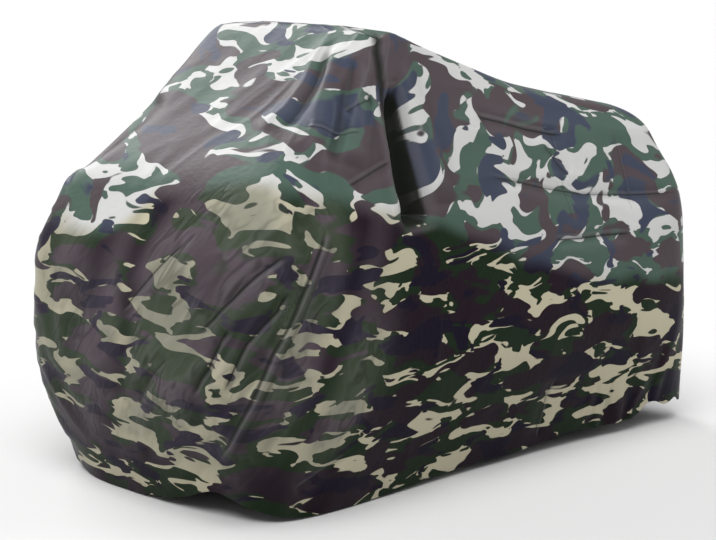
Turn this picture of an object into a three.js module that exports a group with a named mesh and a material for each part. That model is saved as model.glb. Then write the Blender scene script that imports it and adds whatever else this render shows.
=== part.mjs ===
// Fitted camouflage cover for a quad bike: one sewn sheet, open underneath.
// Millimetres, +Z up. The nose of the cover is at -X and its left side at -Y.
// Ribs run from the ridge over the handlebar down to the hem, and folds are pressed into the sheet.
import * as THREE from 'three';

// Main sizes
const CLOTH = 2;
const RIDGE_X = -255;
const RIDGE_Z = 1197;
const RIDGE_RADIUS = 20;
const BEND_DOWN = 0.55;
const BEND_ROUND = 1.0;

// Left half of the cover, nose to tail, mirrored to the right half.
// ridge: distance of the rib's top from the middle, to the left
// slope, rack, fender, skirt, hem: the points where the sheet bends, as x, y, z
// left, right: columns of the sheet between this rib and the next one, on each side
const RIBS = [
  { rib: 'nose', ridge: 0, slope: [-500, 0, 1004], rack: [-730, 0, 835],
    fender: [-862, 0, 640], skirt: [-884, 0, 330], hem: [-812, 0, 4], left: 5, right: 4 },
  { rib: 'nose side', ridge: 150, slope: [-500, -180, 1004], rack: [-730, -240, 835],
    fender: [-862, -250, 640], skirt: [-884, -265, 330], hem: [-806, -250, 12], left: 7, right: 4 },
  { rib: 'front corner', ridge: 300, slope: [-492, -337, 1010], rack: [-738, -408, 815],
    fender: [-850, -464, 620], skirt: [-853, -475, 310], hem: [-748, -402, 26], left: 8, right: 4 },
  { rib: 'front wheel', ridge: 325, slope: [-390, -392, 1006], rack: [-530, -460, 850],
    fender: [-590, -510, 740], skirt: [-620, -525, 330], hem: [-600, -440, 0], left: 10, right: 4 },
  { rib: 'ridge end', ridge: 330, slope: [-260, -400, 1000], rack: [-270, -450, 870],
    fender: [-270, -505, 730], skirt: [-270, -525, 360], hem: [-270, -430, 10], left: 7, right: 5 },
  { rib: 'behind ridge', ridge: 325, slope: [-100, -360, 1068], rack: [-20, -430, 870],
    fender: [50, -495, 640], skirt: [50, -525, 340], hem: [50, -430, 18], left: 5, right: 4 },
  { rib: 'seat', ridge: 290, slope: [120, -320, 1067], rack: [260, -410, 896],
    fender: [320, -505, 580], skirt: [330, -525, 330], hem: [330, -440, 26], left: 6, right: 4 },
  { rib: 'rear wheel', ridge: 180, slope: [290, -250, 1026], rack: [540, -400, 931],
    fender: [610, -515, 545], skirt: [628, -528, 330], hem: [612, -476, 30], left: 10, right: 4 },
  { rib: 'rear corner', ridge: 80, slope: [400, -150, 1004], rack: [746, -400, 922],
    fender: [857, -495, 718], skirt: [865, -500, 300], hem: [872, -500, 50], left: 4, right: 4 },
  { rib: 'tail side', ridge: 40, slope: [430, -70, 990], rack: [796, -200, 918],
    fender: [878, -255, 650], skirt: [884, -260, 300], hem: [874, -260, 72], left: 3, right: 3 },
  { rib: 'tail', ridge: 0, slope: [440, 0, 990], rack: [800, 0, 918],
    fender: [882, 0, 650], skirt: [889, 0, 300], hem: [878, 0, 72], left: 0, right: 0 },
];

// Rows of the sheet between one bend of the ribs and the next, top to hem.
const ROWS = [1, 6, 5, 5, 5, 5];

// Main folds. path: where the fold runs, as x, y, z; width: its half width; rise: ridge + or trough -
const FOLDS = [
  { fold: 'trough below the ridge end', width: 34, rise: -56,
    path: [[-284, -345, 1120], [-290, -388, 1027], [-293, -423, 935], [-302, -458, 846], [-302, -498, 730]] },
  { fold: 'ridge behind that trough', width: 42, rise: 14,
    path: [[-250, -360, 1120], [-200, -430, 910], [-200, -480, 760]] },
  { fold: 'ridge down the front corner', width: 32, rise: 14,
    path: [[-606, -488, 743], [-659, -496, 667], [-742, -490, 509], [-830, -434, 298], [-815, -306, 151]] },
  { fold: 'trough ahead of the corner ridge', width: 34, rise: -10,
    path: [[-690, -490, 640], [-770, -480, 500], [-845, -430, 360], [-850, -380, 250]] },
  { fold: 'trough behind the corner ridge', width: 36, rise: -9,
    path: [[-600, -500, 690], [-690, -510, 480], [-770, -495, 300], [-800, -430, 130]] },
  { fold: 'soft ridge under the ridge line', width: 36, rise: 7,
    path: [[-320, -270, 1150], [-440, -340, 1020], [-590, -410, 880]] },
  { fold: 'soft trough beside it', width: 36, rise: -8,
    path: [[-330, -200, 1150], [-530, -300, 970], [-680, -350, 850]] },
  { fold: 'trough ahead of the ridge end', width: 30, rise: -9,
    path: [[-320, -330, 1140], [-390, -380, 1000], [-520, -460, 830]] },
  { fold: 'crease down the nose', width: 34, rise: -10,
    path: [[-300, -40, 1170], [-360, 30, 1120], [-430, 120, 1070], [-560, 200, 950], [-680, 240, 870]] },
  { fold: 'crease across the front', width: 30, rise: -14,
    path: [[-752, -466, 678], [-807, -439, 642], [-848, -395, 586], [-861, -346, 539], [-868, -290, 490]] },
  { fold: 'crease beside the nose', width: 30, rise: -10,
    path: [[-848, -153, 649], [-862, -80, 580], [-872, 4, 503]] },
  { fold: 'hem crease behind the middle', width: 30, rise: -18,
    path: [[205, -500, 260], [220, -475, 158], [215, -450, 20]] },
  { fold: 'trough below the far ridge end', width: 44, rise: -38,
    path: [[-285, 335, 1150], [-293, 390, 1010], [-275, 450, 860], [-250, 502, 735]] },
  { fold: 'ridge down the far front corner', width: 34, rise: 9,
    path: [[-620, 485, 740], [-720, 495, 560], [-800, 480, 400], [-840, 400, 220]] },
  { fold: 'hollow above the far rack corner', width: 58, rise: -42,
    path: [[-540, 330, 965], [-640, 375, 900], [-735, 418, 845]] },
  { fold: 'far rack corner', width: 44, rise: 9,
    path: [[-752, 395, 788], [-760, 440, 770]] },
  { fold: 'hollow below the far rack corner', width: 44, rise: -16,
    path: [[-795, 432, 720], [-835, 460, 668]] },
  { fold: 'hollow over the far fender', width: 80, rise: -9,
    path: [[-840, 485, 400], [-840, 490, 260]] },
  { fold: 'far front foot', width: 110, rise: 9,
    path: [[-800, 440, 260], [-790, 420, 150], [-770, 400, 60]] },
  { fold: 'slack behind the ridge', width: 120, rise: -8,
    path: [[-60, 60, 1130], [180, 0, 1080], [400, -40, 1020]] },
];

// Unevenness of the hem. at: place round the cover, counted in ribs; reach: half width in ribs; lift: upwards
const HEM_LIFTS = [
  { at: 1.1, reach: 0.5, lift: 54 },
  { at: 0.3, reach: 0.4, lift: 6 },
  { at: 1.85, reach: 0.24, lift: 8 },
  { at: 4.6, reach: 0.5, lift: 6 },
  { at: 5.8, reach: 0.3, lift: 7 },
  { at: 6.28, reach: 0.25, lift: 14 },
  { at: 6.8, reach: 0.3, lift: 5 },
  { at: 7.3, reach: 0.2, lift: 44 },
  { at: 7.75, reach: 0.2, lift: 30 },
  { at: 12.6, reach: 0.4, lift: 34 },
  { at: 16.2, reach: 0.5, lift: 18 },
  { at: 19.0, reach: 0.6, lift: -10 },
];

const STATIONS = ['slope', 'rack', 'fender', 'skirt', 'hem'];
const FULL_ROUND = 2 * (RIBS.length - 1);
const HEM_STATION = STATIONS.length + 1;
const SKIRT_STATION = HEM_STATION - 1;

// Each rib as a list of points from the middle of the ridge to the hem.
function ribPoints(row, index, side) {
  const end = RIBS.findIndex((r) => r.rib === 'ridge end');
  const ridgeX = RIDGE_X + RIDGE_RADIUS * Math.sign(index - end);
  const points = [
    new THREE.Vector3(RIDGE_X, 0, RIDGE_Z),
    new THREE.Vector3(ridgeX, -side * row.ridge, RIDGE_Z),
  ];
  for (const station of STATIONS) {
    const [x, y, z] = row[station];
    points.push(new THREE.Vector3(x, side * y, z));
  }
  return points;
}

// Closed round of ribs: nose, left side, tail, right side.
const leftRibs = RIBS.map((row, i) => ribPoints(row, i, 1));
const rightRibs = RIBS.map((row, i) => ribPoints(row, i, -1)).slice(1, -1).reverse();
const ROUND = [...leftRibs, ...rightRibs];

// Point at coordinate s on a line of points whose corners are rounded over a share of each stretch.
function roundedLine(points, s, share, closed) {
  const n = points.length;
  const pick = (k) => points[closed ? (k + n) % n : THREE.MathUtils.clamp(k, 0, n - 1)];
  const i = Math.round(s);
  const d = s - i;
  const here = pick(i);
  const before = pick(i - 1);
  const after = pick(i + 1);
  const half = share / 2;
  const isEnd = !closed && (i === 0 || i === n - 1);
  if (isEnd || Math.abs(d) > half) {
    return here.clone().lerp(d < 0 ? before : after, Math.abs(d));
  }
  const t = (d + half) / share;
  const a = here.clone().lerp(before, half);
  const b = here.clone().lerp(after, half);
  return a.multiplyScalar((1 - t) ** 2).addScaledVector(here, 2 * t * (1 - t)).addScaledVector(b, t * t);
}

// Smooth sheet without its folds, u round the cover in ribs and v down it in stations.
function smoothSheet(u, v) {
  const line = ROUND[0].map((_, k) => roundedLine(ROUND.map((rib) => rib[k]), u, BEND_ROUND, true));
  const point = roundedLine(line, v, BEND_DOWN, false);
  const down = THREE.MathUtils.smoothstep(v, SKIRT_STATION - 0.2, HEM_STATION);
  for (const { at, reach, lift } of HEM_LIFTS) {
    const apart = Math.abs(u - at);
    const away = Math.min(apart, FULL_ROUND - apart) / reach;
    point.z += lift * down * Math.exp(-away * away);
  }
  return point;
}

// Height of a fold at a point: full along the middle of its path, fading over both ends and to the sides.
function foldRise(point, { path, width, rise }) {
  const corners = path.map((p) => new THREE.Vector3(...p));
  const lengths = corners.slice(1).map((c, i) => c.distanceTo(corners[i]));
  const total = lengths.reduce((sum, l) => sum + l, 0);
  let best = Infinity;
  let along = 0;
  let start = 0;
  const nearest = new THREE.Vector3();
  lengths.forEach((length, i) => {
    const line = new THREE.Line3(corners[i], corners[i + 1]);
    const t = line.closestPointToPointParameter(point, true);
    const gap = line.at(t, nearest).distanceTo(point);
    if (gap < best) {
      best = gap;
      along = (start + t * length) / total;
    }
    start += length;
  });
  const fadeIn = THREE.MathUtils.smoothstep(along, -0.05, 0.2);
  const fadeOut = THREE.MathUtils.smoothstep(1 - along, -0.05, 0.2);
  return rise * fadeIn * fadeOut * Math.exp(-((best / width) ** 2));
}

// Places of the columns and rows of the sheet.
const COLUMNS_AT = [];
const addColumns = (from, count) => {
  for (let i = 0; i < count; i += 1) COLUMNS_AT.push(from + i / count);
};
RIBS.slice(0, -1).forEach((row, i) => addColumns(i, row.left));
RIBS.slice(0, -1).reverse().forEach((row, i) => addColumns(RIBS.length - 1 + i, row.right));
const ROWS_AT = [];
ROWS.forEach((count, i) => {
  for (let k = 1; k <= count; k += 1) ROWS_AT.push(i + k / count);
});
const COLS = COLUMNS_AT.length;

// Outward normals of a grid of points, from its neighbours along rows and columns.
function gridNormals(grid) {
  return grid.map((row, r) => row.map((_, c) => {
    const across = row[(c + 1) % COLS].clone().sub(row[(c + COLS - 1) % COLS]);
    const below = grid[Math.min(r + 1, grid.length - 1)][c];
    const above = grid[Math.max(r - 1, 0)][c];
    return across.cross(below.clone().sub(above)).negate().normalize();
  }));
}

const smooth = ROWS_AT.map((v) => COLUMNS_AT.map((u) => smoothSheet(u, v)));
const smoothNormals = gridNormals(smooth);
const outer = smooth.map((row, r) => row.map((point, c) => {
  const rise = FOLDS.reduce((sum, fold) => sum + foldRise(point, fold), 0);
  return point.clone().addScaledVector(smoothNormals[r][c], rise);
}));
const outerNormals = gridNormals(outer);
const inner = outer.map((row, r) => row.map((p, c) => p.clone().addScaledVector(outerNormals[r][c], -CLOTH)));

// One closed skin: outside, inside and the edge of the hem.
const positions = [];
const indices = [];
const put = (p) => positions.push(p.x, p.y, p.z) / 3 - 1;
const top = put(new THREE.Vector3(RIDGE_X, 0, RIDGE_Z));
const topInside = put(new THREE.Vector3(RIDGE_X, 0, RIDGE_Z - CLOTH));
const outerAt = outer.map((row) => row.map(put));
const innerAt = inner.map((row) => row.map(put));
const last = ROWS_AT.length - 1;
for (let c = 0; c < COLS; c += 1) {
  const d = (c + 1) % COLS;
  indices.push(top, outerAt[0][c], outerAt[0][d]);
  indices.push(topInside, innerAt[0][d], innerAt[0][c]);
  for (let r = 0; r < last; r += 1) {
    const [a, b, e, f] = [outerAt[r][c], outerAt[r][d], outerAt[r + 1][c], outerAt[r + 1][d]];
    indices.push(a, e, b, b, e, f);
    const [g, h, m, n] = [innerAt[r][c], innerAt[r][d], innerAt[r + 1][c], innerAt[r + 1][d]];
    indices.push(g, h, m, h, n, m);
  }
  const [p, q, s, t] = [outerAt[last][c], outerAt[last][d], innerAt[last][c], innerAt[last][d]];
  indices.push(p, s, q, q, s, t);
}

const geometry = new THREE.BufferGeometry();
geometry.setAttribute('position', new THREE.Float32BufferAttribute(positions, 3));
geometry.setIndex(indices);
geometry.computeVertexNormals();

const polyester = new THREE.MeshStandardMaterial({ color: 0x5b5a44, roughness: 0.5, metalness: 0 });
const cover = new THREE.Mesh(geometry, polyester);
cover.name = 'cover';

const part = new THREE.Group();
part.name = 'quad_bike_cover';
part.add(cover);
export default part;
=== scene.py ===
"""Woodland-camouflage cover draped over a quad bike, on a light-toned studio floor."""
import math

import bpy
import numpy as np
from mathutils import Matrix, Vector


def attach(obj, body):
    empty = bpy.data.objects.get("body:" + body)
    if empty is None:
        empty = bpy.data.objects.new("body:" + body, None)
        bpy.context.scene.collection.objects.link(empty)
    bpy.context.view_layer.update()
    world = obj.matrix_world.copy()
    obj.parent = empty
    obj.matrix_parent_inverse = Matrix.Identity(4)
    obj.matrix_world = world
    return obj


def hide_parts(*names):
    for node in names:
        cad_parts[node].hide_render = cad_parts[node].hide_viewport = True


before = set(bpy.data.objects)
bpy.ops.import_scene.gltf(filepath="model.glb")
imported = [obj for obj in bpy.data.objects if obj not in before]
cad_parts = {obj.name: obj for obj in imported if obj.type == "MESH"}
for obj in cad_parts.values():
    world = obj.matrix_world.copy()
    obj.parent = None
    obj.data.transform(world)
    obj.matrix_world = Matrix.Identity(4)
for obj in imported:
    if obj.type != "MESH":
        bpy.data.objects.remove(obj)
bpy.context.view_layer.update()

MM = 0.001

# Camera, as the photograph was taken: angles in degrees, distances in m, lens and sensor in mm
CAMERA = dict(azimuth=-44.0, elevation=10.5, distance=5.5, target=(-0.033, 0.011, 0.497), lens=98.0,
              sensor=36.0, sees_up_to=500.0)

# Ridge of the cover, over the handlebar, mm
RIDGE_X = -255
RIDGE_Z = 1197
RIDGE_RADIUS = 20

# Share of each stretch that is rounded at a bend, down the ribs and round the cover
BEND_DOWN = 0.55
BEND_ROUND = 1.0

# Left half of the cover, nose to tail, mirrored to the right half. For each rib: its name, how far its
# top lies from the middle of the ridge in mm, the columns of the sheet up to the next rib on the left and
# on the right side, then where the sheet bends (slope, rack, fender, skirt, hem), in mm
RIBS = [
    ("nose", 0, 24, 12,
     (-500, 0, 1004), (-730, 0, 835), (-862, 0, 640), (-884, 0, 330), (-812, 0, 4)),
    ("nose side", 150, 30, 12,
     (-500, -180, 1004), (-730, -240, 835), (-862, -250, 640), (-884, -265, 330), (-806, -250, 12)),
    ("front corner", 300, 36, 12,
     (-492, -337, 1010), (-738, -408, 815), (-850, -464, 620), (-853, -475, 310), (-748, -402, 26)),
    ("front wheel", 325, 40, 12,
     (-390, -392, 1006), (-530, -460, 850), (-590, -510, 740), (-620, -525, 330), (-600, -440, 0)),
    ("ridge end", 330, 38, 12,
     (-260, -400, 1000), (-270, -450, 870), (-270, -505, 730), (-270, -525, 360), (-270, -430, 10)),
    ("behind ridge", 325, 28, 12,
     (-100, -360, 1068), (-20, -430, 870), (50, -495, 640), (50, -525, 340), (50, -430, 18)),
    ("seat", 290, 26, 12,
     (120, -320, 1067), (260, -410, 896), (320, -505, 580), (330, -525, 330), (330, -440, 26)),
    ("rear wheel", 180, 26, 12,
     (290, -250, 1026), (540, -400, 931), (610, -515, 545), (628, -528, 330), (612, -476, 30)),
    ("rear corner", 80, 14, 12,
     (400, -150, 1004), (746, -400, 922), (857, -495, 718), (865, -500, 300), (872, -500, 50)),
    ("tail side", 40, 10, 12,
     (430, -70, 990), (796, -200, 918), (878, -255, 650), (884, -260, 300), (874, -260, 72)),
    ("tail", 0, 0, 0,
     (440, 0, 990), (800, 0, 918), (882, 0, 650), (889, 0, 300), (878, 0, 72)),
]
RIDGE_END = [name for name, *_ in RIBS].index("ridge end")
FULL_ROUND = 2 * (len(RIBS) - 1)

# Power that draws the columns close to the ridge end, where the deep trough needs them
CROWDING = 1.5

# Rows of the sheet between one bend of the ribs and the next, top to hem, and the numbers of the bends
ROWS = (2, 54, 46, 46, 46, 46)
FENDER_BEND = 4
SKIRT_BEND = 5
HEM_BEND = 6

# Main folds: name, half width at both ends, rise at both ends (ridge + or trough -),
# sharpness (2 soft, 4 steep-sided), path, mm
FOLDS = [
    ("trough below the ridge end", (17, 50), (-44, -90), 3.0,
     [(-283, -375, 1062), (-287, -394, 1009), (-302, -437, 900), (-308, -470, 815), (-310, -497, 742),
      (-308, -505, 700)]),
    ("ridge behind that trough", (30, 46), (5, 16), 2.0,
     [(-240, -360, 1120), (-200, -430, 910), (-200, -480, 760)]),
    ("lip ahead of that trough", (18, 24), (3, 9), 2.0,
     [(-335, -370, 1060), (-358, -415, 960), (-366, -460, 860), (-380, -500, 740)]),
    ("trough ahead of the corner crease", (24, 26), (-6, -10), 2.0,
     [(-690, -490, 640), (-770, -480, 500), (-845, -440, 360), (-855, -390, 250)]),
    ("trough behind the corner crease", (26, 32), (-6, -10), 2.0,
     [(-610, -500, 690), (-690, -510, 480), (-770, -495, 300), (-800, -430, 130)]),
    ("ridge behind that", (30, 34), (5, 7), 2.0,
     [(-570, -505, 700), (-630, -510, 554), (-690, -505, 420), (-750, -480, 270)]),
    ("first ridge in the hood", (18, 34), (7, 14), 2.0,
     [(-300, -160, 1172), (-422, -203, 1069), (-506, -219, 999), (-577, -198, 945)]),
    ("trough beside it", (16, 30), (-8, -14), 2.0,
     [(-335, -200, 1140), (-428, -234, 1064), (-493, -255, 1009), (-560, -269, 957)]),
    ("second ridge in the hood", (18, 36), (7, 14), 2.0,
     [(-330, -228, 1148), (-456, -301, 1035), (-533, -360, 955), (-594, -390, 896)]),
    ("trough beside that", (16, 30), (-9, -15), 2.0,
     [(-345, -300, 1128), (-434, -351, 1029), (-480, -388, 960), (-540, -425, 880)]),
    ("third ridge in the hood", (16, 30), (7, 13), 2.0,
     [(-335, -330, 1120), (-409, -386, 997), (-436, -413, 942), (-480, -445, 870)]),
    ("band below the first front crease", (26, 30), (6, 7), 2.0,
     [(-790, -460, 610), (-845, -420, 545), (-868, -350, 480)]),
    ("band beside the third front crease", (24, 24), (6, 7), 2.0,
     [(-845, -425, 470), (-858, -395, 410), (-868, -350, 350)]),
    ("left edge of the front", (34, 34), (6, 8), 2.0,
     [(-870, 275, 471), (-876, 252, 387), (-870, 246, 295)]),
    ("trough below the far ridge end", (20, 40), (-12, -46), 2.4,
     [(-285, 330, 1165), (-295, 375, 1050), (-290, 420, 930), (-270, 460, 840), (-250, 505, 725)]),
    ("far front foot", (110, 110), (9, 9), 2.0, [(-800, 440, 260), (-790, 420, 150), (-770, 400, 60)]),
    ("hollow over the far fender", (80, 80), (-9, -9), 2.0, [(-840, 485, 400), (-840, 490, 260)]),
    ("hollow above the far rack corner", (80, 46), (-6, -66), 2.0,
     [(-480, 305, 1010), (-560, 340, 950), (-640, 375, 900), (-735, 418, 845)]),
    ("hollow below the far rack corner", (36, 36), (-18, -18), 2.0,
     [(-795, 432, 720), (-835, 460, 668)]),
    ("far rack corner", (34, 34), (8, 8), 2.0, [(-752, 395, 788), (-760, 440, 770)]),
    ("slack behind the ridge", (120, 120), (-8, -8), 2.0,
     [(-60, 60, 1130), (180, 0, 1080), (400, -40, 1020)]),
]

# Shares of its path between which a fold grows to its full rise, at both ends
FOLD_FADE = (-0.02, 0.15)

# Folds with steeper sides than soft ones get painted shade, growing between these two depths, mm
SOFT_FOLD = 2.0
SHADE_DEPTHS = (14, 26)

# Thin creases: place, half width of the sharp line, rise (ridge + or valley -), path, mm
CREASES = [
    ("from the ridge end", 11.0, -14,
     [(-225, -240, 1200), (-250, -275, 1193), (-285, -320, 1165), (-304, -341, 1141),
      (-317, -366, 1080), (-321, -385, 1031), (-325, -407, 975), (-339, -436, 903), (-354, -462, 838),
      (-362, -485, 783), (-368, -498, 745)]),
    ("down the front corner", 3.5, 11,
     [(-606, -488, 743), (-659, -496, 667), (-698, -495, 592), (-742, -490, 509), (-779, -480, 445),
      (-811, -464, 372), (-830, -434, 298), (-829, -376, 216), (-815, -306, 151)]),
    ("first across the front", 3.5, -9,
     [(-735, -472, 690), (-752, -466, 678), (-807, -439, 642), (-848, -395, 586), (-861, -346, 539),
      (-868, -290, 490)]),
    ("second across the front", 3.0, -8,
     [(-740, -488, 600), (-768, -479, 558), (-806, -461, 522), (-836, -434, 476), (-856, -404, 398),
      (-862, -380, 350)]),
    ("third across the front", 3.5, -9,
     [(-850, -400, 520), (-863, -362, 468), (-869, -330, 410), (-873, -300, 375), (-876, -270, 330)]),
    ("beside the nose", 3.0, -6,
     [(-830, -200, 700), (-848, -153, 649), (-862, -80, 580), (-872, 4, 503)]),
    ("lower beside the nose", 2.5, -4, [(-872, -190, 420), (-880, -120, 350), (-878, -60, 270)]),
    ("at the bottom corner", 2.5, -4, [(-684, -443, 89), (-627, -461, 120), (-544, -475, 153)]),
    ("at the hem behind the middle", 2.4, -5, [(225, -495, 225), (222, -476, 150), (215, -452, 40)]),
    ("short, below the ridge end", 2.5, -4,
     [(-440, -370, 1003), (-401, -377, 1016), (-358, -380, 1031)]),
    ("slanting, above the fender", 2.5, -5, [(-516, -461, 829), (-444, -457, 851), (-365, -449, 873)]),
    ("across the hood", 2.5, 4, [(-541, -334, 961), (-499, -383, 956), (-431, -409, 951)]),
    ("slanting packing", 2.5, -4, [(262, -413, 862), (296, -430, 815), (335, -445, 770)]),
    ("upper packing", 3.0, -7, [(9, -392, 960), (150, -400, 925), (297, -407, 893), (348, -410, 884)]),
    ("middle packing", 2.2, -5,
     [(-1, -449, 806), (180, -455, 765), (357, -461, 726), (560, -470, 700), (789, -480, 682)]),
    ("lower packing", 3.0, -7,
     [(214, -494, 615), (340, -496, 606), (470, -497, 600), (560, -498, 594)]),
    ("upright packing", 1.8, -2, [(300, -400, 900), (300, -440, 780), (310, -480, 640)]),
    ("rear upright packing", 1.8, -2, [(560, -420, 880), (570, -450, 760), (575, -480, 640)]),
    ("down the far front corner", 3.5, 10,
     [(-620, 485, 740), (-720, 495, 560), (-800, 480, 400), (-840, 400, 220)]),
    ("far packing", 2.5, -4, [(20, 400, 930), (300, 420, 880), (620, 430, 820)]),
    ("lower far packing", 2.5, -4, [(-100, 500, 620), (300, 510, 560), (700, 505, 540)]),
    ("at the far hem", 3.0, -8, [(120, 500, 260), (130, 470, 140), (135, 445, 20)]),
    ("tail packing", 2.5, -4, [(870, -380, 640), (885, 0, 620), (870, 380, 650)]),
]

# Half width of the rise at a crease, the distances between which its line fades, and the rise at which
# the line has its full strength, mm
CREASE_HALF = 20
CREASE_REACH = (15.6, 26)
CREASE_FULL = 7

# Shares of its path over which a crease fades at its start and at its end
CREASE_START = 0.10
CREASE_END = 0.14

# Patches of fine wrinkles: name, half width of the patch, rise, length across and along a wrinkle,
# direction of the wrinkles, middle line of the patch, mm
WRINKLES = [
    ("front panel", 200, 5, 60, 260, (0.45, -0.55, 0.7),
     [(-760, -470, 560), (-870, -250, 420), (-880, 60, 330)]),
    ("front panel, fine", 190, 3, 30, 150, (0.35, -0.45, 0.8),
     [(-800, -440, 480), (-870, -250, 380), (-880, 100, 330)]),
    ("under the ridge end", 150, 2.5, 46, 300, (-0.55, -0.3, -0.75),
     [(-350, -290, 1110), (-520, -370, 930)]),
    ("far front edge", 130, 6, 60, 240, (0.2, 0.7, 0.6), [(-870, 330, 520), (-860, 330, 220)]),
    ("rear corner", 110, 6, 48, 240, (0.1, 0.1, 1.0),
     [(500, -490, 90), (700, -495, 110), (860, -490, 160)]),
    ("nose slope", 200, 2.5, 50, 260, (-0.6, 0.3, -0.6), [(-420, -60, 1060), (-640, 40, 900)]),
    ("seat side", 220, 2, 70, 320, (1.0, 0.0, -0.2), [(60, -420, 880), (650, -430, 780)]),
    ("skirt", 190, 2, 90, 320, (0.3, 0.0, 1.0),
     [(-500, -510, 300), (100, -510, 250), (600, -500, 250)]),
    ("far side", 260, 3, 90, 320, (0.4, 0.0, 1.0),
     [(-500, 510, 350), (100, 510, 350), (700, 500, 350)]),
    ("far slope", 200, 3, 70, 320, (1.0, 0.0, -0.3),
     [(-400, 380, 980), (200, 400, 880), (700, 420, 800)]),
    ("tail", 260, 4, 80, 300, (0.0, 0.3, 1.0), [(880, -300, 350), (885, 300, 350)]),
]

# Power of the wrinkles' section: under 1 their crests are sharp
CREST_POWER = 0.7

# Sideways sway of the folds and of the wrinkles, so that none is straight, and its length, mm
FOLD_SWAY = 6
WRINKLE_SWAY = 14
SWAY_LENGTH = 110

# Slow rise and fall of the whole sheet, and its length, mm
SLACK_RISE = 3
SLACK_LENGTH = 260

# Bend of the cloth that counts as a sharp crest or crease, as a radius in mm
SHARP_RADIUS = 16

# Unevenness of the hem: place round the cover in ribs, half width in ribs, lift in mm,
# and the place down the cover where the lifts start, in bends
HEM_LIFTS = [
    (1.10, 0.50, 54),
    (0.3, 0.40, 6),
    (1.85, 0.24, 8),
    (4.6, 0.50, 6),
    (5.8, 0.30, 7),
    (6.28, 0.25, 14),
    (6.8, 0.30, 5),
    (7.30, 0.20, 44),
    (7.75, 0.20, 30),
    (19.0, 0.60, -10),
    (12.6, 0.40, 34),
    (16.2, 0.50, 18),
]
LIFT_FROM = SKIRT_BEND - 0.2

# Gathers of the elastic hem: place round the cover in ribs, half width in ribs, rise in mm,
# and the place down the cover where they start, in bends
GATHERS = [
    (7.4, 0.9, 12),
    (8.6, 0.6, 9),
    (1.0, 0.8, 4),
    (11.5, 1.2, 8),
    (17.8, 1.2, 7),
]
GATHER_FROM = SKIRT_BEND + 0.1

# Length of the gathers round the hem and up the cloth, mm, and share of their rise that lifts the hem
GATHER_LENGTH = 42
GATHER_HEIGHT = 260
GATHER_DRAW = 0.8

# Roll of the hem's edge: radius in mm, first and last angle in radians, rows of the sheet
ROLL_RADIUS = 4
ROLL_TURN = (0.5, 4.2)
ROLL_ROWS = 5

# Lower edge of the painted sheen that lightens the upper cloth: place round the cover in ribs, height in
# mm
UPPER_SHEEN_EDGE = [
    (0.0, 775), (0.5, 808), (1.5, 836), (2.4, 826), (3.1, 775), (3.7, 746), (4.3, 693), (5.1, 593),
    (5.9, 515), (6.5, 480), (7.5, 443), (10.0, 450), (12.5, 450), (14.1, 515), (15.0, 600), (16.0, 715),
    (17.3, 780), (18.5, 701), (19.2, 676), (19.6, 681), (19.9, 750),
]

# Half width of that edge, how far it wanders, and the length of a wander, mm
UPPER_SHEEN_BLUR = 30
UPPER_SHEEN_WANDER = 22
UPPER_SHEEN_LENGTH = 80

# Painted sheen on the front, which lightens its dark colours and dims its khaki: how far from the nose it
# fades, in ribs, the heights between which it grows to full from its share at the hem, and its strongest
# band with the half width, mm
FRONT_SHEEN_ROUND = (3.1, 3.8)
FRONT_SHEEN_HEIGHT = (60, 300)
FRONT_SHEEN_AT_HEM = 0.25
FRONT_SHEEN_BAND = [(-590, -502, 700), (-651, -504, 554), (-716, -499, 440), (-776, -475, 291)]
FRONT_SHEEN_HALF = 60
FRONT_SHEEN_IN_BAND = 0.45

# Streaks of the painted front sheen: direction, length across and along them in mm, middle share and
# swing
FRONT_SHEEN_GRAIN = (-0.4, 0.15, -0.9)
FRONT_SHEEN_ACROSS = 70
FRONT_SHEEN_ALONG = 420
FRONT_SHEEN_MIDDLE = 0.62
FRONT_SHEEN_SWING = 0.8

# The print climbs with the cloth only where that is steep: not at all up to the first slope (1 is
# upright), in full from the second
PRINT_STEEP = (0.10, 0.55)

# How much slower the print climbs on the upper cloth, the bends between which that changes, and the
# place down the cover where the print's height is the cloth's own
UPPER_SLOWER = 0.48
UPPER_BENDS = (FENDER_BEND - 0.3, FENDER_BEND + 0.2)
PRINT_LEVEL = SKIRT_BEND - 0.1

# Seeds of the noise, and the points along each side of its lattice; wrinkles count on from theirs
SEEDS = dict(sway=(1, 2, 3), slack=5, upper_sheen=6, wrinkles=10, front_sheen=31, gathers=77)
LATTICE = 32


def rounded_line(points, s, share, closed):
    """Points at coordinates s on a line of points, its corners rounded over a share of each stretch."""
    i = np.rint(s).astype(int)
    mode = "wrap" if closed else "clip"
    here, before, after = (points.take(k, axis=0, mode=mode) for k in (i, i - 1, i + 1))
    column = (-1,) + (1,) * (points.ndim - 1)
    d = (s - i).reshape(column)
    half = share / 2
    t = np.clip((d + half) / share, 0, 1)
    start = here + half * (before - here)
    end = here + half * (after - here)
    bend = (1 - t) ** 2 * start + 2 * t * (1 - t) * here + t * t * end
    straight = here + np.abs(d) * np.where(d < 0, before - here, after - here)
    at_end = np.zeros(len(s), bool) if closed else (i == 0) | (i == len(points) - 1)
    return np.where((np.abs(d) > half) | at_end.reshape(column), straight, bend)


def smoothstep(x, lo, hi):
    """0 up to lo, 1 from hi on, with a smooth rise between them."""
    t = np.clip((x - lo) / (hi - lo), 0, 1)
    return t * t * (3 - 2 * t)


def round_gap(u, at):
    """Distance between places round the cover, the shorter way, in ribs."""
    apart = np.abs(u - at)
    return np.minimum(apart, FULL_ROUND - apart)


def along_grain(points, grain, across, along):
    """Coordinates counted in steps across a grain and in longer ones along it."""
    grain = np.array(grain) / np.linalg.norm(grain)
    run = points @ grain
    return points / across + np.multiply.outer(run * (1 / along - 1 / across), grain)


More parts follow.
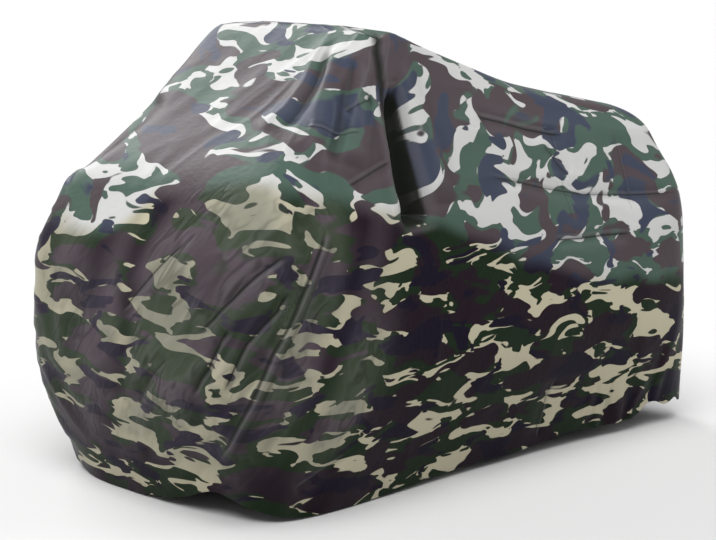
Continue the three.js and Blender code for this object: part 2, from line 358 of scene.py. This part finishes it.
def soft_noise(q, seed):
    """Smooth noise from -1 to 1 at points q, one lattice unit per grain."""
    lattice = np.random.default_rng(seed).uniform(-1, 1, (LATTICE,) * 3)
    cell = np.floor(q).astype(int)
    t = q - cell
    t = t * t * (3 - 2 * t)
    total = 0.0
    for corner in np.ndindex(2, 2, 2):
        share = np.prod(np.where(corner, t, 1 - t), axis=-1)
        at = (cell + corner) % LATTICE
        total = total + share * lattice[at[..., 0], at[..., 1], at[..., 2]]
    return total


def near_path(points, path):
    """Nearest place on a path: distance, share of the path up to it, way from it, course of the path."""
    path = np.array(path, float)
    lengths = np.linalg.norm(np.diff(path, axis=0), axis=1)
    starts = np.concatenate([[0], np.cumsum(lengths)])
    best = np.full(points.shape[:-1], np.inf)
    along = np.zeros(points.shape[:-1])
    offset = np.zeros(points.shape)
    course = np.zeros(points.shape)
    for a, b, length, start in zip(path[:-1], path[1:], lengths, starts):
        t = np.clip((points - a) @ (b - a) / length ** 2, 0, 1)
        away = points - a - t[..., None] * (b - a)
        gap = np.linalg.norm(away, axis=-1)
        near = gap < best
        best = np.where(near, gap, best)
        along = np.where(near, (start + t * length) / starts[-1], along)
        offset = np.where(near[..., None], away, offset)
        course = np.where(near[..., None], (b - a) / length, course)
    return best, along, offset, course


def rib_round():
    """All ribs as one closed round (nose, left side, tail, right side), each from ridge to hem."""
    left = []
    for k, (_, ridge, _, _, *bends) in enumerate(RIBS):
        ridge_x = RIDGE_X + RIDGE_RADIUS * np.sign(k - RIDGE_END)
        left.append([(RIDGE_X, 0, RIDGE_Z), (ridge_x, -ridge, RIDGE_Z), *bends])
    left = np.array(left, float)
    right = left[-2:0:-1] * (1, -1, 1)
    return np.concatenate([left, right])


def crowded(rib, t):
    """Share of the way from a rib to the next, drawn close to the ridge end for its deep trough."""
    if rib == RIDGE_END - 1:
        return 1 - (1 - t) ** CROWDING
    return t ** CROWDING if rib == RIDGE_END else t


def places():
    """Coordinates of the sheet's columns (round the cover, in ribs) and rows (down it, in bends)."""
    left_columns = [left for _, _, left, *_ in RIBS[:-1]]
    right_columns = [right for _, _, _, right, *_ in RIBS[-2::-1]]
    left = [k + crowded(k, i / n) for k, n in enumerate(left_columns) for i in range(n)]
    right = [len(RIBS) - 1 + k + i / n for k, n in enumerate(right_columns) for i in range(n)]
    down = [k + i / n for k, n in enumerate(ROWS) for i in range(1, n + 1)]
    return np.array(left + right), np.array(down)


def smooth_sheet(u, v):
    """The sheet without its folds, as a grid of points (rows, columns, 3), mm."""
    loops = rounded_line(rib_round(), u, BEND_ROUND, True)
    sheet = rounded_line(loops.transpose(1, 0, 2), v, BEND_DOWN, False)
    down = smoothstep(v, LIFT_FROM, HEM_BEND)[:, None]
    for at, reach, lift in HEM_LIFTS:
        sheet[..., 2] += lift * down * np.exp(-(round_gap(u, at) / reach) ** 2)
    return sheet


def grid_normals(grid):
    """Outward direction of the sheet at each of its points."""
    across = np.roll(grid, -1, 1) - np.roll(grid, 1, 1)
    below = np.gradient(grid, axis=0)
    normal = np.cross(below, across)
    return normal / np.linalg.norm(normal, axis=2, keepdims=True)


def fold_rise(points, width, rise, sharp, path):
    """Height of a fold at each point: fading over both ends of its path and to its sides."""
    gap, along, *_ = near_path(points, path)
    half = width[0] + along * (width[1] - width[0])
    height = rise[0] + along * (rise[1] - rise[0])
    fade = smoothstep(along, *FOLD_FADE) * smoothstep(1 - along, *FOLD_FADE)
    return height * fade * np.exp(-(gap / half) ** sharp)


def crease_fields(points, normal):
    """Rise of the creases, each point's distance across the nearest in line widths, and its strength."""
    best = np.full(points.shape[:-1], np.inf)
    rises = np.zeros_like(best)
    line = np.zeros_like(best)
    strength = np.zeros_like(best)
    for _, half, rise, path in CREASES:
        gap, along, offset, course = near_path(points, path)
        fade = smoothstep(along, 0, CREASE_START) * smoothstep(1 - along, 0, CREASE_END)
        rises += rise * fade * np.exp(-(gap / CREASE_HALF) ** 2)
        across = np.cross(normal, course)
        side = np.sum(across * offset, axis=-1) / np.linalg.norm(across, axis=-1)
        near = gap < best
        best = np.where(near, gap, best)
        line = np.where(near, side / half, line)
        fade *= 1 - smoothstep(gap, *CREASE_REACH)
        strength = np.where(near, np.clip(rise / CREASE_FULL, -1, 1) * fade, strength)
    return rises, line, strength


def wrinkle_rise(points, seed, reach, rise, across, along, grain, path):
    """Fine wrinkles of a patch: noise drawn out along the grain, with sharp crests."""
    gap, *_ = near_path(points, path)
    bends = np.abs(soft_noise(along_grain(points, grain, across, along), seed))
    return rise * (1 - 2 * bends ** CREST_POWER) * np.exp(-(gap / reach) ** 2)


def gather_rise(points, u, v):
    """Gathers that the elastic draws up along the hem."""
    turn = np.arctan2(points[..., 1], points[..., 0])
    length = np.linalg.norm(points[..., :2], axis=-1) * turn / GATHER_LENGTH
    q = np.stack([length, points[..., 2] / GATHER_HEIGHT, 0 * length], -1)
    size = sum(rise * np.exp(-(round_gap(u, at) / reach) ** 2) for at, reach, rise in GATHERS)
    down = smoothstep(v, GATHER_FROM, HEM_BEND)[:, None]
    return size * down * soft_noise(q, SEEDS["gathers"])


def hem_roll(edge, normal):
    """Rows of points that roll the edge of the hem inwards."""
    down = np.array([0, 0, -1])
    return [edge + ROLL_RADIUS * ((1 - math.cos(t)) * -normal + math.sin(t) * down)
            for t in np.linspace(*ROLL_TURN, ROLL_ROWS)]


def print_places(smooth, u, v):
    """Where each point lies on the printed cloth, with its height measured along the steep cloth."""
    step = np.diff(smooth, axis=0)
    length = np.linalg.norm(step, axis=2)
    steep = smoothstep(-step[..., 2] / length, *PRINT_STEEP)
    upper = 1 - smoothstep(v[1:], *UPPER_BENDS)[:, None]
    climb = length * steep * (1 - UPPER_SLOWER * upper)
    run = np.concatenate([np.zeros((1, len(u))), np.cumsum(climb, axis=0)])
    level = np.argmin(np.abs(v - PRINT_LEVEL))
    height = smooth[level, :, 2] + run[level] - run
    return np.stack([smooth[..., 0], smooth[..., 1], height], -1)


def upper_sheen_share(smooth, u):
    """How far each point takes the painted sheen of the upper cloth (0 or 1, with a soft uneven edge)."""
    edge = np.interp(u, *np.transpose(UPPER_SHEEN_EDGE), period=FULL_ROUND)
    wander = UPPER_SHEEN_WANDER * soft_noise(smooth / UPPER_SHEEN_LENGTH, SEEDS["upper_sheen"])
    return smoothstep(smooth[..., 2] - edge + wander, -UPPER_SHEEN_BLUR, UPPER_SHEEN_BLUR)


def front_sheen_share(smooth, u):
    """How far each point takes the painted sheen and shade of the front."""
    near = 1 - smoothstep(round_gap(u, 0.0), *FRONT_SHEEN_ROUND)
    low = FRONT_SHEEN_AT_HEM + (1 - FRONT_SHEEN_AT_HEM) * smoothstep(smooth[..., 2], *FRONT_SHEEN_HEIGHT)
    streak = soft_noise(along_grain(smooth, FRONT_SHEEN_GRAIN, FRONT_SHEEN_ACROSS, FRONT_SHEEN_ALONG), SEEDS["front_sheen"])
    gap, *_ = near_path(smooth, FRONT_SHEEN_BAND)
    band = FRONT_SHEEN_IN_BAND * np.exp(-(gap / FRONT_SHEEN_HALF) ** 2)
    return np.clip(near * low * np.clip(FRONT_SHEEN_MIDDLE + FRONT_SHEEN_SWING * streak, 0, 1) + band, 0, 1)


def crest_share(smooth, rise):
    """Bend of the folds at each point: 1 on a sharp crest, -1 in a sharp crease."""
    total = 0
    for axis in (0, 1):
        gap = np.linalg.norm(np.roll(smooth, -1, axis) - smooth, axis=2)
        slope = (np.roll(rise, -1, axis) - rise) / gap
        total = total + 2 * (slope - np.roll(slope, 1, axis)) / (gap + np.roll(gap, 1, axis))
    total[[0, -1]] = 0
    for axis in (0, 1, 0, 1):
        total = (np.roll(total, 1, axis) + 2 * total + np.roll(total, -1, axis)) / 4
    return np.tanh(-SHARP_RADIUS * total)


def folded_sheet(smooth, u, v):
    """The sheet with its folds and its rolled hem, and the shares that its material needs."""
    normal = grid_normals(smooth)
    sway = np.stack([soft_noise(smooth / SWAY_LENGTH, seed) for seed in SEEDS["sway"]], -1)
    folding = smooth + FOLD_SWAY * sway
    wrinkling = smooth + WRINKLE_SWAY * sway
    folds = [fold_rise(folding, *fold) for _, *fold in FOLDS]
    steep = sum(rise for rise, (_, _, _, sharp, _) in zip(folds, FOLDS) if sharp > SOFT_FOLD)
    creases, line, strength = crease_fields(folding, normal)
    wrinkles = [wrinkle_rise(wrinkling, seed, *patch)
                for seed, (_, *patch) in enumerate(WRINKLES, SEEDS["wrinkles"])]
    gathers = gather_rise(smooth, u, v)
    slack = SLACK_RISE * soft_noise(smooth / SLACK_LENGTH, SEEDS["slack"])
    rise = sum(folds) + creases + sum(wrinkles) + (gathers + slack)
    sheet = smooth + normal * rise[..., None]
    sheet[..., 2] += GATHER_DRAW * np.abs(gathers)
    sheet = np.concatenate([sheet, hem_roll(sheet[-1], normal[-1])])
    sheet[..., 2] -= sheet[..., 2].min()
    # Masks for the painted sheen of the upper cloth and of the front, for painted highlights and shade on
    # the folds, and for the lines of the thin creases
    shares = dict(
        upper_sheen=upper_sheen_share(smooth, u),
        front_sheen=front_sheen_share(smooth, u),
        crest=crest_share(smooth, rise),
        deep=smoothstep(-steep, *SHADE_DEPTHS),
        line=line,
        sharp=strength,
    )
    return sheet, shares


def cover_cloth():
    """The cover as one object, closed at the top by a fan of triangles."""
    u, v = places()
    smooth = smooth_sheet(u, v)
    sheet, shares = folded_sheet(smooth, u, v)
    rows, columns = sheet.shape[:2]
    top = np.array([[RIDGE_X, 0, RIDGE_Z]], float)
    points = np.concatenate([top, sheet.reshape(-1, 3)]) * MM
    at = 1 + np.arange(rows * columns).reshape(rows, columns)
    after = np.roll(at, -1, 1)
    fan = [(0, a, b) for a, b in zip(at[0].tolist(), after[0].tolist())]
    quads = np.stack([at[:-1], at[1:], after[1:], after[:-1]], -1).reshape(-1, 4).tolist()
    mesh = bpy.data.meshes.new("cover_cloth")
    mesh.from_pydata(points.tolist(), [], fan + quads)
    mesh.polygons.foreach_set("use_smooth", [True] * len(mesh.polygons))

    printed = print_places(smooth, u, v)
    printed = np.concatenate([printed] + [printed[-1:]] * ROLL_ROWS)
    printed = np.concatenate([printed[:1].mean(axis=1), printed.reshape(-1, 3)]) * MM
    mesh.attributes.new("print", "FLOAT_VECTOR", "POINT").data.foreach_set("vector", printed.ravel())
    for name, share in shares.items():
        share = np.concatenate([share[:1].mean(axis=1), share.ravel(), np.zeros(ROLL_ROWS * columns)])
        mesh.attributes.new(name, "FLOAT", "POINT").data.foreach_set("value", share)
    cloth = bpy.data.objects.new("cover_cloth", mesh)
    bpy.context.scene.collection.objects.link(cloth)
    return cloth


class Graph:
    """Adds nodes to a material, linking sockets and setting plain values."""

    def __init__(self, name):
        self.material = bpy.data.materials.new(name)
        self.material.use_nodes = True
        self.tree = self.material.node_tree
        self.tree.nodes.clear()

    def add(self, kind, inputs=(), **settings):
        node = self.tree.nodes.new(kind)
        for key, value in settings.items():
            setattr(node, key, value)
        for key, value in dict(inputs).items():
            if isinstance(value, bpy.types.NodeSocket):
                self.tree.links.new(value, node.inputs[key])
            else:
                node.inputs[key].default_value = value
        return node

    def attribute(self, name, output="Fac"):
        return self.add("ShaderNodeAttribute", attribute_name=name).outputs[output]

    def math(self, operation, a, b=0.0):
        return self.add("ShaderNodeMath", {0: a, 1: b}, operation=operation).outputs[0]

    def product(self, first, *others):
        for other in others:
            first = self.math("MULTIPLY", first, other)
        return first

    def vector(self, operation, a, b, output="Vector"):
        return self.add("ShaderNodeVectorMath", {0: a, 1: b}, operation=operation).outputs[output]

    def noise(self, vector, scale, detail=0.0, offset=(0, 0, 0), output="Fac"):
        shifted = self.vector("ADD", vector, offset)
        inputs = {"Vector": shifted, "Scale": scale, "Detail": detail}
        return self.add("ShaderNodeTexNoise", inputs).outputs[output]

    def sway(self, vector, scale, offset, size):
        """A push to either side of each axis, up to half the size along it."""
        push = self.noise(vector, scale, offset=offset, output="Color")
        return self.vector("MULTIPLY", self.vector("SUBTRACT", push, (0.5, 0.5, 0.5)), size)

    def step(self, value, at, edge):
        """0 below at, 1 above it, over a narrow edge."""
        inputs = {"Value": value, "From Min": at - edge, "From Max": at + edge}
        return self.add("ShaderNodeMapRange", inputs, interpolation_type="SMOOTHSTEP").outputs[0]

    def bell(self, value, at, half):
        """1 where the value is at the given place, falling to 0 over a half width to both sides."""
        away = self.math("DIVIDE", self.math("SUBTRACT", value, at), half)
        return self.math("EXPONENT", self.product(away, away, -1.0))

    def along(self, vector, grain, across, length):
        """Coordinates counted in steps across a grain and in longer ones along it."""
        run = self.vector("DOT_PRODUCT", vector, grain, "Value")
        pull = self.math("MULTIPLY", run, 1 / length - 1 / across)
        pull = self.add("ShaderNodeVectorMath", {0: grain, "Scale": pull}, operation="SCALE").outputs[0]
        return self.vector("ADD", self.vector("MULTIPLY", vector, (1 / across,) * 3), pull)

    def mix(self, share, a, b):
        return self.add("ShaderNodeMix", {0: share, 6: a, 7: b}, data_type="RGBA").outputs[2]


# Printed colours, linear: on the lower cloth, then copies with the front's painted sheen and shade, then
# copies with the upper cloth's painted sheen
KHAKI = (0.41, 0.38, 0.275, 1), (0.225, 0.222, 0.170, 1), (0.465, 0.465, 0.460, 1)
GREEN = (0.006, 0.015, 0.0045, 1), (0.043, 0.056, 0.035, 1), (0.054, 0.090, 0.070, 1)
BROWN = (0.0102, 0.0040, 0.0080, 1), (0.078, 0.061, 0.071, 1), (0.060, 0.046, 0.051, 1)
DARK = (0.0045, 0.0018, 0.0095, 1), (0.036, 0.030, 0.046, 1), (0.038, 0.045, 0.072, 1)

# Blotches in the order of printing: scale, part of the noise, raggedness, level of the edge, colours
BLOTCHES = [
    (6.2, (5, 17, 3), 0.35, 0.512, GREEN),
    (7.5, (21, 3, 14), 0.35, 0.60, GREEN),
    (4.8, (2, 9, 4), 0.30, 0.541, BROWN),
    (6.0, (11, 5, 8), 0.30, 0.615, DARK),
]

# Half width of a blotch's edge, towards the khaki ground and towards the other blotches
CRISP_EDGE = 0.007
SOFT_EDGE = 0.022

# How much further the blotches reach under the painted sheen of the upper cloth
UPPER_SHEEN_REACH = 0.008

# Finer noise in the edges of a blotch, as a multiple of its scale, and the detail of both noises
EDGE_SCALE = 2.4
BLOTCH_DETAIL = 0.2

# Size of the print along each axis, and the part of the endless pattern that falls on the cover
PRINT_SCALE = (1.25, 0.92, 1.34)
PRINT_START = (28.5, 18.1, 7.3)

# How far the blotches and their edges are drawn out level
LEVEL_BLOTCH = (1.0, 1.0, 2.0)
LEVEL_EDGE = (1.0, 1.0, 3.0)

# Sway of the print and of its level fingers: noise scale, part of the noise, size along each axis
PRINT_SWAY = (8.0, (0, 0, 0), (0.14, 0.14, 0.08))
FINGER_SWAY = (5.5, (7, 3, 1), (0.20, 0.20, 0.03))
LEVEL_FINGER = (1.0, 1.0, 2.8)

# Colours of painted highlights on crests and of painted shade in folds, linear, and how far they cover
# the
# print: on bends of the cloth, on drawn lines, in deep folds
PAINTED_HIGHLIGHT = (0.150, 0.145, 0.150, 1)
FOLD_SHADE = (0.011, 0.012, 0.009, 1)
CREST_HIGHLIGHT_COVER = 0.25
CREASE_SHADE_COVER = 0.70
LIT_COVER = 0.32
SHADED_COVER = 0.86
DEEP_SHADE_COVER = 0.96

# Bands of painted light and painted shade along a crease: beside a ridge (1) or a valley (-1), place
# across the line and half width in half widths of the line, strength
LIT_BANDS = [
    (1.0, 0.0, 1.0, 1.0),
    (-1.0, 3.2, 2.0, 1.0),
]
SHADED_BANDS = [
    (-1.0, 0.0, 1.0, 1.0),
    (1.0, -2.6, 1.3, 1.0),
    (1.0, 4.5, 2.4, 0.6),
]

# Crumples in the front: grain, length across and along it in m, then level in the noise, half width
# and strength of their lit and of their shaded sides
CRUMPLE_GRAIN = (-0.35, 0.55, -0.76)
CRUMPLE_ACROSS = 0.036
CRUMPLE_ALONG = 0.24
CRUMPLE_LIT = (0.45, 0.06, 0.45)
CRUMPLE_SHADED = (0.56, 0.06, 0.50)

# Patches of crumpled cloth: their noise, then the level and half width of their edge in it
CRUMPLE_PATCH = dict(scale=7.0, detail=1.0, offset=(3, 1, 2))
CRUMPLE_PATCH_EDGE = (0.46, 0.12)

# Relief of the cloth: scales of grain and weave, shares of the weave and of the drawn lines, depth in m
GRAIN_SCALE = 60.0
WEAVE_SCALE = 700.0
WEAVE_SHARE = 0.2
LINE_SHARE = 1.5
RELIEF = 0.002


def print_colour(g, place, upper_sheen, front_sheen):
    """Woodland blotches over khaki, each colour swapped for its copies with painted sheen on the front
    and on the upper cloth.
    """
    bent = g.vector("ADD", place, g.sway(place, *PRINT_SWAY))
    bent = g.vector("ADD", bent, g.sway(g.vector("MULTIPLY", place, LEVEL_FINGER), *FINGER_SWAY))
    blotch_place = g.vector("MULTIPLY", bent, LEVEL_BLOTCH)
    edge_place = g.vector("MULTIPLY", bent, LEVEL_EDGE)

    # Print colour mixed with its painted-sheen copies for the front and the upper cloth
    def tint(lower, front, upper):
        return g.mix(upper_sheen, g.mix(front_sheen, lower, front), upper)

    printed = tint(*BROWN)
    covered = 0.0
    for scale, offset, ragged, at, colours in BLOTCHES:
        body = g.noise(blotch_place, scale, BLOTCH_DETAIL, offset)
        edge = g.noise(edge_place, scale * EDGE_SCALE, BLOTCH_DETAIL, offset)
        field = g.math("ADD", body, g.math("MULTIPLY", g.math("SUBTRACT", edge, 0.5), ragged))
        field = g.math("ADD", field, g.math("MULTIPLY", upper_sheen, UPPER_SHEEN_REACH))
        printed = g.mix(g.step(field, at, SOFT_EDGE), printed, tint(*colours))
        covered = g.math("MAXIMUM", g.step(field, at, CRISP_EDGE), covered)
    return g.mix(covered, tint(*KHAKI), printed)


def crumple_sides(g, cloth, upper_sheen, front_sheen):
    """Lit and shaded sides of the crumples in the front."""
    crumple = g.noise(g.along(cloth, CRUMPLE_GRAIN, CRUMPLE_ACROSS, CRUMPLE_ALONG), 1.0, 1.0)
    patch = g.step(g.noise(cloth, **CRUMPLE_PATCH), *CRUMPLE_PATCH_EDGE)
    patch = g.product(patch, front_sheen, g.math("SUBTRACT", 1.0, upper_sheen))
    return [g.product(g.bell(crumple, at, half), patch, strength)
            for at, half, strength in (CRUMPLE_LIT, CRUMPLE_SHADED)]


def crease_bands(g, bands, others):
    """The strongest of the given painted bands along the creases and of the others at each point."""
    line = g.attribute("line")
    sharp = g.attribute("sharp")
    for side, at, half, strength in bands:
        kind = g.math("MAXIMUM", g.math("MULTIPLY", sharp, side), 0.0)
        others = g.math("MAXIMUM", others, g.product(g.bell(line, at, half), kind, strength))
    return others


def camouflage():
    """Coated polyester with the print, with painted sheen on the upper cloth and the front, and with
    painted light and shade on its folds and thin creases.
    """
    g = Graph("camouflage_polyester")
    cloth = g.attribute("print", "Vector")
    place = g.vector("ADD", g.vector("MULTIPLY", cloth, PRINT_SCALE), PRINT_START)
    upper_sheen = g.attribute("upper_sheen")
    front_sheen = g.attribute("front_sheen")
    colour = print_colour(g, place, upper_sheen, front_sheen)

    # Painted highlight on the crests of the folds and painted shade in their creases
    crest = g.attribute("crest")
    colour = g.mix(g.math("MULTIPLY", g.math("MAXIMUM", crest, 0.0), CREST_HIGHLIGHT_COVER), colour, PAINTED_HIGHLIGHT)
    colour = g.mix(g.math("MULTIPLY", g.math("MINIMUM", crest, 0.0), -CREASE_SHADE_COVER), colour, FOLD_SHADE)
    lit, shaded = crumple_sides(g, cloth, upper_sheen, front_sheen)
    # Painted highlights and painted shade along the thin creases and on the crumples of the front
    light = crease_bands(g, LIT_BANDS, lit)
    shade = crease_bands(g, SHADED_BANDS, shaded)
    colour = g.mix(g.math("MULTIPLY", light, LIT_COVER), colour, PAINTED_HIGHLIGHT)
    colour = g.mix(g.math("MULTIPLY", shade, SHADED_COVER), colour, FOLD_SHADE)
    # Painted shade laid nearly opaque over the print in deep folds
    colour = g.mix(g.math("MULTIPLY", g.attribute("deep"), DEEP_SHADE_COVER), colour, FOLD_SHADE)

    weave = g.math("MULTIPLY", g.noise(place, WEAVE_SCALE), WEAVE_SHARE)
    lines = g.math("MULTIPLY", g.math("SUBTRACT", light, shade), LINE_SHARE)
    height = g.math("ADD", g.math("ADD", g.noise(place, GRAIN_SCALE, 2.0), weave), lines)
    bump = g.add("ShaderNodeBump", {"Height": height, "Strength": 0.4, "Distance": RELIEF}).outputs[0]
    shader = g.add("ShaderNodeBsdfPrincipled", {
        "Base Color": colour,
        "Roughness": 0.40,
        "Specular IOR Level": 0.065,
        "Specular Tint": (0.78, 0.87, 1.0, 1),
        "Sheen Weight": 0.07,
        "Sheen Roughness": 0.3,
        "Normal": bump,
    })
    g.add("ShaderNodeOutputMaterial", {"Surface": shader.outputs[0]})
    return g.material


# Floor: size in m, its two tones and the scale of the noise between them
FLOOR_SIZE = 120
FLOOR_TONES = (0.57, 0.57, 0.57, 1), (0.59, 0.59, 0.59, 1)
FLOOR_SCALE = 0.6


def pale_floor():
    """Plain, light-toned studio floor."""
    g = Graph("pale_floor")
    place = g.add("ShaderNodeTexCoord").outputs["Object"]
    colour = g.mix(g.noise(place, FLOOR_SCALE, 2.0), *FLOOR_TONES)
    shader = g.add("ShaderNodeBsdfPrincipled", {"Base Color": colour, "Roughness": 0.9})
    g.add("ShaderNodeOutputMaterial", {"Surface": shader.outputs[0]})
    bpy.ops.mesh.primitive_plane_add(size=FLOOR_SIZE)
    floor = bpy.context.object
    floor.name = "floor"
    floor.data.materials.append(g.material)


# Far softboxes: name, direction from the cover, angle across in degrees, strength
SOFTBOXES = [
    ("rear left", (0.70, -0.50, 0.52), 40, 0.9),
    ("far front", (0.16, 0.82, 0.55), 32, 1.9),
    ("overhead", (-0.38, -0.20, 0.90), 50, 3.3),
    ("front glow", (-0.70, 0.70, 0.16), 26, 0.3),
    ("corner glow", (-0.72, -0.66, 0.16), 26, 0.2),
]
AMBIENT = 0.28


def lights():
    """Softboxes far from the cover and an even glow all round."""
    for name, direction, angle, strength in SOFTBOXES:
        data = bpy.data.lights.new(name, "SUN")
        data.angle = math.radians(angle)
        data.energy = strength
        lamp = bpy.data.objects.new(name, data)
        lamp.rotation_euler = Vector(direction).to_track_quat("Z", "Y").to_euler()
        bpy.context.scene.collection.objects.link(lamp)
    world = bpy.data.worlds.new("studio")
    world.use_nodes = True
    glow = world.node_tree.nodes["Background"].inputs
    glow["Color"].default_value = (1, 1, 1, 1)
    glow["Strength"].default_value = AMBIENT
    bpy.context.scene.world = world
    bpy.context.scene.view_settings.view_transform = "Standard"


def camera():
    """Camera at the photograph's place."""
    azimuth = math.radians(CAMERA["azimuth"])
    elevation = math.radians(CAMERA["elevation"])
    level = math.cos(elevation)
    back = Vector((math.sin(azimuth) * level, -math.cos(azimuth) * level, math.sin(elevation)))
    data = bpy.data.cameras.new("camera")
    data.lens = CAMERA["lens"]
    data.sensor_width = CAMERA["sensor"]
    data.clip_end = CAMERA["sees_up_to"]
    view = bpy.data.objects.new("camera", data)
    view.location = Vector(CAMERA["target"]) + CAMERA["distance"] * back
    view.rotation_euler = back.to_track_quat("Z", "Y").to_euler()
    bpy.context.scene.collection.objects.link(view)
    bpy.context.scene.camera = view


camera()
cloth = cover_cloth()
cloth.data.materials.append(camouflage())
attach(cloth, "root")
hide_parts("cover")
pale_floor()
lights()
